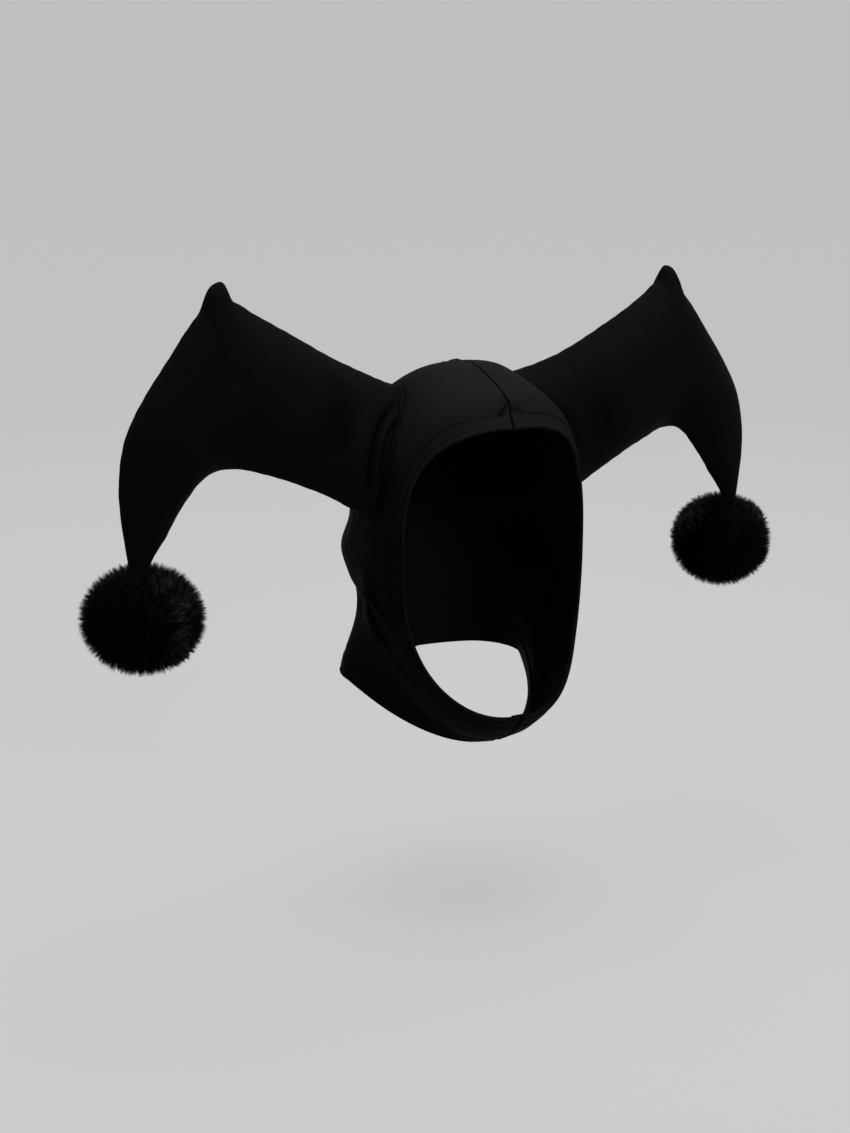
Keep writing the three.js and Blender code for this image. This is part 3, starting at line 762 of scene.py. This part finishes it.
horn_creases = {
    "right": table(crease_columns, [
        [0.020, 0.150, 0.100, 0.258, 0.082, 0.380, 0.0028, -0.0060, 2.0],
        [0.014, 0.180, 0.070, 0.252, 0.078, 0.345, 0.0015, 0.0020, 1.6],
        [0.006, 0.200, 0.048, 0.250, 0.046, 0.360, 0.0018, -0.0044, 1.8],
        [0.100, 0.160, 0.150, 0.240, 0.150, 0.330, 0.0060, 0.0018, 2.0],
        [0.180, 0.130, 0.225, 0.220, 0.250, 0.320, 0.0170, -0.0028, 2.0],
        [0.090, 0.420, 0.150, 0.400, 0.230, 0.350, 0.0060, -0.0010, 2.0],
        [0.600, 0.060, 0.625, 0.150, 0.640, 0.230, 0.0130, -0.0014, 2.0],
        [0.820, 0.150, 0.850, 0.250, 0.860, 0.370, 0.0110, -0.0014, 2.0],
        [0.300, 0.440, 0.350, 0.380, 0.380, 0.300, 0.0050, -0.0008, 2.0],
    ]),
    "left": table(crease_columns, [
        [0.020, 0.150, 0.060, 0.240, 0.065, 0.330, 0.0030, -0.0014, 2.0],
        [0.172, 0.190, 0.195, 0.285, 0.225, 0.390, 0.0022, -0.0006, 1.8],
        [0.320, 0.290, 0.385, 0.370, 0.430, 0.440, 0.0024, -0.0007, 1.8],
        [0.350, 0.370, 0.375, 0.420, 0.400, 0.460, 0.0020, -0.0006, 1.8],
        [0.140, 0.160, 0.175, 0.250, 0.190, 0.350, 0.0200, -0.0016, 2.0],
        [0.545, 0.030, 0.580, 0.070, 0.620, 0.060, 0.0030, -0.0012, 1.8],
        [0.620, 0.060, 0.640, 0.150, 0.660, 0.230, 0.0120, -0.0010, 2.0],
        [0.935, 0.280, 0.950, 0.360, 0.965, 0.430, 0.0014, -0.0007, 1.6],
    ]),
}


def horn_skin(along, angle):
    """The horn's skin from the middle of its seat. Each section is a full lens between its upper seam, at
    angle 0, and its under seam, at half a turn over the front. The knob is a hump on the upper seam."""
    section = {name: through(horn_sections["along"], column, along) for name, column in horn_sections.items()}
    scale = np.array([horn_reach, horn_thickness, horn_height])
    top = np.stack([section["TX"], section["TY"], section["TZ"]], -1) * scale
    under = np.stack([section["BX"], section["BY"], section["BZ"]], -1) * scale
    points = (top + under) / 2 + (top - under) / 2 * np.cos(angle)[..., None]
    depth = section["full"] * horn_thickness / 2 * np.abs(np.sin(angle)) ** lens
    points[..., 1] -= np.sign(np.sin(angle)) * depth
    knob = bell(along - knob_along, knob_width, knob_power) * np.maximum(np.cos(angle), 0) ** knob_fall
    return points + knob[..., None] * knob_rise


def horn_form(along, turn, seat):
    """The whole horn. Its first ring lies on the hood's seam and passes smoothly into the horn's sections."""
    along, turn = np.broadcast_arrays(along, turn)
    angle = 2 * np.pi * turn
    middle = hood_cloth(*horn_root)
    seam = hood_cloth(*seat_place(seat, angle), -base_sink) - middle - horn_skin(np.zeros_like(along), angle)
    fade = np.maximum(0, 1 - along / seat_blend) ** 2
    return horn_skin(along, angle) + middle + seam * fade[..., None]


def tube_normal(points):
    """Outward directions of a closed tube of rings: the cross product of its steps round and along."""
    return unit(np.cross(np.roll(points, -1, 1) - np.roll(points, 1, 1), np.gradient(points, axis=0)))


def spread(values, along, turn):
    """A coarse grid's values at a finer grid's places, on smooth curves. The columns meet all round."""
    rows, columns = values.shape[:2]
    rings = through(np.linspace(0, 1, rows), values, along)
    wrapped = np.concatenate([rings[:, -2:], rings, rings[:, :3]], 1).swapaxes(0, 1)
    return through(np.arange(-2, columns + 3) / columns, wrapped, turn).swapaxes(0, 1)


def filled(seat):
    """How the filling moves the horn's cloth, on a coarse grid. The cloth starts a little slimmer, is held at
    its seams and at both ends, and pressure blows it out in a short cloth simulation without gravity."""
    along = np.linspace(0, 1, fill_rows)[:, None]
    turn = np.linspace(0, 1, fill_columns, endpoint=False)[None, :]
    form = horn_form(along, turn, seat)
    held = np.zeros((fill_rows, fill_columns), bool)
    held[:, [0, fill_columns // 2]] = True
    held[[0, 1, -2, -1]] = True
    slim = form - tube_normal(form) * fill_slimmer * ~held[..., None]
    piece = mesh_object("filling", slim, grid_faces(fill_rows, fill_columns, closed=True)[:, ::-1])
    group = piece.vertex_groups.new(name="held")
    group.add(np.flatnonzero(held).tolist(), 1, "REPLACE")
    cloth = piece.modifiers.new("cloth", "CLOTH").settings
    cloth.vertex_group_mass = group.name
    cloth.use_pressure = True
    cloth.uniform_pressure_force = fill_pressure
    cloth.shrink_min = fill_slack
    cloth.effector_weights.gravity = 0
    for frame_number in range(1, fill_frames + 1):
        bpy.context.scene.frame_set(frame_number)
    shaped = piece.evaluated_get(bpy.context.evaluated_depsgraph_get()).data
    points = np.empty(form.size)
    shaped.vertices.foreach_get("co", points)
    mesh = piece.data
    bpy.data.objects.remove(piece)
    bpy.data.meshes.remove(mesh)
    bpy.context.scene.frame_set(1)
    moved = points.reshape(form.shape) - form
    for _ in range(fill_smoothings):
        moved = (2 * moved + np.roll(moved, 1, 1) + np.roll(moved, -1, 1)) / 4
        moved[1:-1] = (2 * moved[1:-1] + moved[:-2] + moved[2:]) / 4
    far = np.linalg.norm(moved, axis=-1, keepdims=True)
    return moved * np.minimum(1, fill_most / np.maximum(far, fill_most))


def horn(word, side):
    """A closed tube of rings, with one point in the middle of each end. Beside the hood it rises in a thin
    rolled ridge and sinks in a narrow valley, and its two long seams are pulled in between low swells."""
    seat = seats[word]
    along = np.concatenate([np.linspace(0, base_share, base_lines, endpoint=False),
                            np.linspace(base_share, 1, horn_lines_along)])
    even = np.linspace(0, 1, horn_lines_round, endpoint=False)
    turn = even - horn_bunching * np.sin(4 * np.pi * even) / (4 * np.pi)
    rings = horn_form(along[:, None], turn[None, :], seat)
    rings += spread(filled(seat), along, turn)
    late = np.clip((along - end_shift_starts) / (1 - end_shift_starts), 0, 1)
    rings[..., 0] += end_shift[word] * (late ** 2 * (3 - 2 * late))[:, None]
    normal = tube_normal(rings)
    angle = 2 * np.pi * turn[None, :]
    cap = hood_cloth(*seat_place(seat, angle, np.array(cap_shares)[:, None]), -base_sink)
    from_base = lengths_along(rings)
    steps = np.linalg.norm(np.roll(rings, -1, 1) - rings, axis=-1)
    round_length = np.concatenate([np.zeros((len(along), 1)), np.cumsum(steps, 1)], 1)
    half = horn_lines_round // 2
    from_top = np.minimum(round_length[:, :-1], round_length[:, -1:] - round_length[:, :-1])
    from_under = np.abs(round_length[:, :-1] - round_length[:, half:half + 1])
    from_seam = np.minimum(from_top, from_under)
    near_knob = bell(along[:, None] - knob_along, knob_calm_width * knob_width) * (from_top < from_under)
    at_knob = 1 - knob_calm * near_knob
    starts = np.clip(from_base / horn_seam_starts, 0, 1)
    rise = swell(from_base, **base_ridge) - swell(from_base, **base_valley)
    rise -= horn_seam_depth * bell(from_seam, seam_width, seam_power) * starts * at_knob
    pucker = horn_pucker_height * puckers(from_base, from_seam, **horn_pucker)
    rise += (swell(from_seam, **horn_swell) + pucker) * at_knob
    fine = crease_rise(rings, horn_creases[word], horn_form, seat)
    rings += normal * (rise + fine)[..., None]
    rings = np.concatenate([cap, rings])
    cap_middle = hood_cloth(*seat_place(seat, 0, 0), -base_sink)
    points = np.concatenate([rings.reshape(-1, 3), [cap_middle], rings[-1:].mean(1)]) * [side, 1, 1]
    first = np.arange(horn_lines_round)
    last = first + (len(rings) - 1) * horn_lines_round
    start, end = len(points) - 2, len(points) - 1
    faces = grid_faces(len(rings), horn_lines_round, closed=True)[:, ::-1].tolist()
    faces += [(start, b, a) for a, b in zip(first, np.roll(first, -1))]
    faces += [(end, a, b) for a, b in zip(last, np.roll(last, -1))]
    made = mesh_object("stuffed_horn_" + word, points, faces if side > 0 else [face[::-1] for face in faces])
    under_cap = np.zeros((cap[..., 0].size, 2))
    places = np.stack([from_top, from_base], -1).reshape(-1, 2)
    lay_map(made, np.concatenate([under_cap, places, np.zeros((2, 2))]))
    # Wear along the seams, and a painted highlight on the rolled ridge by the base.
    wear_and_painted_light = swell(from_seam, **seam_wear) + swell(from_base, **ridge_painted_light)
    # Painted shade in the seams, the base valley and the crease valleys.
    painted_shade = np.maximum(swell(from_seam, **horn_seam_painted_shade), swell(from_base, **valley_painted_shade))
    painted_shade += np.clip(-fine / horn_crease_painted_shade_depth, 0, crease_painted_shade_most)
    for name, values in (("wear_and_painted_light", wear_and_painted_light), ("painted_shade", painted_shade)):
        mark(made, name, np.concatenate([under_cap[:, 0], values.ravel(), [0, 0]]))
    return made


for side, word in ((1, "left"), (-1, "right")):
    made = horn(word, side)
    made.data.materials.append(knit)
    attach(made, "root")
    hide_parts("horn_" + word)

# Fur balls
# Each pompom is a small stuffed ball with a skin of dense, deep black fur, sewn on where the horn's narrow
# end goes into it. The hairs cling together in fine points, and longer locks lie over them in places, their
# hairs coloured lighter as a painted sheen.
fur_length = 0.0092
hair_width = 0.00016
hair_bend = 0.12
tuft_count = 3500
tuft_hairs = 9
tuft_foot = 0.0014
tuft_tip = 0.00030
tuft_lengths = (0.80, 1.06)
tuft_stray = 0.020
tuft_lean = 0.16
fur_waves = (2.5, 5, 11)
wave_lean = 0.12
lock_strands = 380
lock_hairs = 8
lock_reach = 0.13
lock_sweep = 0.95
lock_lengths = (1.00, 1.22)
lock_width = 1.2
hair_middle_width = 0.8
painted_sheen_power = 3
coat_seed = 7
golden_turn = np.pi * (3 - 5 ** 0.5)
fur_colour = (0.0005, 0.0005, 0.0005)
fur_tip_colour = (0.0016, 0.0016, 0.0017)
# Painted sheen: the lighter colour of the locks' hairs.
fur_painted_sheen_colour = (0.0280, 0.0290, 0.0310)
fur_gloss = 0.03
fur_roughness = {"swing": -0.3, "most": 0.6}
fur_patches_to_metre = 90
backing_shrink = 0.001
ball_rings = 40
ball_spokes = 64
# How much wider and higher each fur ball is than its space in the frame, how far it sits from there, and the
# directions in which its longer locks lie.
balls = {
    "right": {"grow": (1.09, 1.09, 1.03), "shift": (0, 0, 0.0005), "locks": [
        (0.20, -0.66, 0.72), (0.47, -0.78, 0.42), (0.18, -0.92, 0.35), (0.27, -0.94, -0.18),
        (0.25, -0.78, -0.57)]},
    "left": {"grow": (1.05, 1.05, 1.05), "shift": (-0.0016, 0.0010, -0.0014), "locks": [
        (0.56, -0.62, 0.55), (0.62, -0.66, -0.42), (-0.86, -0.05, 0.50), (-0.95, 0.28, 0.15)]},
}


def ball_directions(count):
    """Directions spread evenly over a ball, on a spiral of equal steps in height and golden turns."""
    height = 1 - 2 * (np.arange(count) + 0.5) / count
    turn = golden_turn * np.arange(count)
    ring = np.sqrt(1 - height ** 2)
    return np.stack([ring * np.cos(turn), ring * np.sin(turn), height], -1)


def combing(root, random):
    """The fur's sideways lean: along the ball, at right angles to three soft waves that cross each other."""
    swirl = np.zeros_like(root)
    for count in fur_waves:
        waves = np.sin(root @ random.normal(0, 1, (3, 3)) * count + random.uniform(0, 2 * np.pi, 3))
        swirl += np.cross(root, waves) / count ** 0.5
    return swirl


def tuft_hair(own, lean, length, count, random):
    """Feet, bends and tips of the hairs of tufts, from a point on the ball for each tuft. The hairs start
    round the tuft's own direction, lean with it and come together at its tip."""
    own, lean, length = (values.repeat(count, 0) for values in (own, lean, length[:, None]))
    foot = np.cross(own, random.normal(0, tuft_foot, own.shape))
    tip = unit(own + lean) * length + random.normal(0, tuft_tip, own.shape)
    return foot, (foot + tip) / 2 + own * length * hair_bend, tip


def spikes(foot, middle, tip, width):
    """Closed three-sided hairs. A hair without a middle is three points and a tip, and one with a middle has
    another three points there."""
    out = unit(tip - foot)
    side = unit(np.cross(out, np.roll(out, 1, 1) + 0.1))
    other = np.cross(out, side)
    corner = np.arange(3)[:, None] * 2 * np.pi / 3
    ring = side[:, None] * np.cos(corner) + other[:, None] * np.sin(corner)
    parts = [foot[:, None] + ring * width, tip[:, None]]
    pattern = [[0, 2, 1], [0, 1, 3], [1, 2, 3], [2, 0, 3]]
    if middle is not None:
        parts.insert(1, middle[:, None] + ring * width * hair_middle_width)
        pattern = [[0, 2, 1], [0, 1, 4], [0, 4, 3], [1, 2, 5], [1, 5, 4], [2, 0, 3], [2, 3, 5],
                   [3, 4, 6], [4, 5, 6], [5, 3, 6]]
    points = np.concatenate(parts, 1)
    faces = np.array(pattern) + points.shape[1] * np.arange(len(foot))[:, None, None]
    tips = np.linspace(0, 1, len(parts)).repeat([3] * (len(parts) - 1) + [1])
    return points.reshape(-1, 3), faces.reshape(-1, 3), np.tile(tips, len(foot))


def fur_coat(name, centre, radii, locks, seed):
    """The fur on a ball: tufts of fine straight hairs all round, and over them, at the locks, longer bent
    hairs in strands that are all swept the same way."""
    random = np.random.default_rng(seed)
    own = unit(ball_directions(tuft_count) + random.normal(0, tuft_stray, (tuft_count, 3)))
    lean = wave_lean * combing(own, random) + random.normal(0, tuft_lean, own.shape)
    length = fur_length * random.uniform(*tuft_lengths, tuft_count)
    start = (centre + own * (radii - backing_shrink)).repeat(tuft_hairs, 0)
    foot, middle, tip = (start + hair for hair in tuft_hair(own, lean, length, tuft_hairs, random))
    fine = spikes(foot, None, tip, hair_width)
    lock = unit(np.array(locks))[np.arange(lock_strands) % len(locks)]
    own = unit(lock + random.normal(0, lock_reach, lock.shape))
    lean = lock_sweep * unit(np.cross(lock, np.roll(lock, 1, 1))) + random.normal(0, tuft_lean, own.shape)
    length = fur_length * random.uniform(*lock_lengths, lock_strands)
    start = (centre + own * (radii - backing_shrink)).repeat(lock_hairs, 0)
    foot, middle, tip = (start + hair for hair in tuft_hair(own, lean, length, lock_hairs, random))
    long = spikes(foot, middle, tip, hair_width * lock_width)
    faces = np.concatenate([fine[1], long[1] + len(fine[0])])
    made = mesh_object(name, np.concatenate([fine[0], long[0]]), faces)
    # Painted sheen: how much lighter each lock strand is coloured.
    painted_sheen = (random.uniform(0, 1, lock_strands) ** painted_sheen_power).repeat(len(long[0]) // lock_strands)
    mark(made, "tip", np.concatenate([fine[2], long[2]]))
    mark(made, "painted_sheen", np.concatenate([0 * fine[2], painted_sheen * long[2]]))
    return made


def fur_finish():
    """Deep black hair, a little greyer towards its tips, with patches that are smoother. The locks' hairs are
    coloured lighter, a painted sheen, some strands more than others and most towards their tips."""
    material, shader = principled("fur", fur_colour, fur_roughness["most"], fur_gloss)
    tree = material.node_tree
    place = tree.nodes.new("ShaderNodeTexCoord")
    patches = noise(tree, place.outputs["Object"], fur_patches_to_metre)
    shade = maths(tree, "MULTIPLY", marked(tree, "tip"), patches)
    colour = shade_between(tree, shade, fur_colour, fur_tip_colour)
    colour = shade_between(tree, marked(tree, "painted_sheen"), colour, fur_painted_sheen_colour)
    tree.links.new(colour, shader.inputs["Base Color"])
    rough = maths(tree, "MULTIPLY_ADD", patches, fur_roughness["swing"], fur_roughness["most"])
    tree.links.new(rough, shader.inputs["Roughness"])
    return material


fur = fur_finish()
for side, word in ((1, "left"), (-1, "right")):
    low, high = (np.array(corner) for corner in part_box("pompom_" + word))
    ball = balls[word]
    centre = (low + high) / 2 + ball["shift"]
    radii = (high - low) / 2 * ball["grow"] - fur_length
    angle = np.linspace(0, np.pi, ball_rings)[1:-1, None]
    turn = np.linspace(0, 2 * np.pi, ball_spokes, endpoint=False)[None, :]
    out = np.sin(angle)
    rings = np.stack([out * np.cos(turn), out * np.sin(turn), np.cos(angle) + 0 * turn], -1)
    poles = len(rings) * ball_spokes
    first = np.arange(ball_spokes)
    last = first + poles - ball_spokes
    faces = grid_faces(len(rings), ball_spokes, closed=True).tolist()
    faces += [(poles, a, b) for a, b in zip(first, np.roll(first, -1))]
    faces += [(poles + 1, b, a) for a, b in zip(last, np.roll(last, -1))]
    points = np.concatenate([rings.reshape(-1, 3), [[0, 0, 1], [0, 0, -1]]])
    backing = mesh_object("backing_" + word, centre + points * radii, faces)
    coat = fur_coat("fur_" + word, centre, radii, ball["locks"], coat_seed + side)
    for piece in (backing, coat):
        piece.data.materials.append(fur)
        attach(piece, "root")
        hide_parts("pompom_" + word)
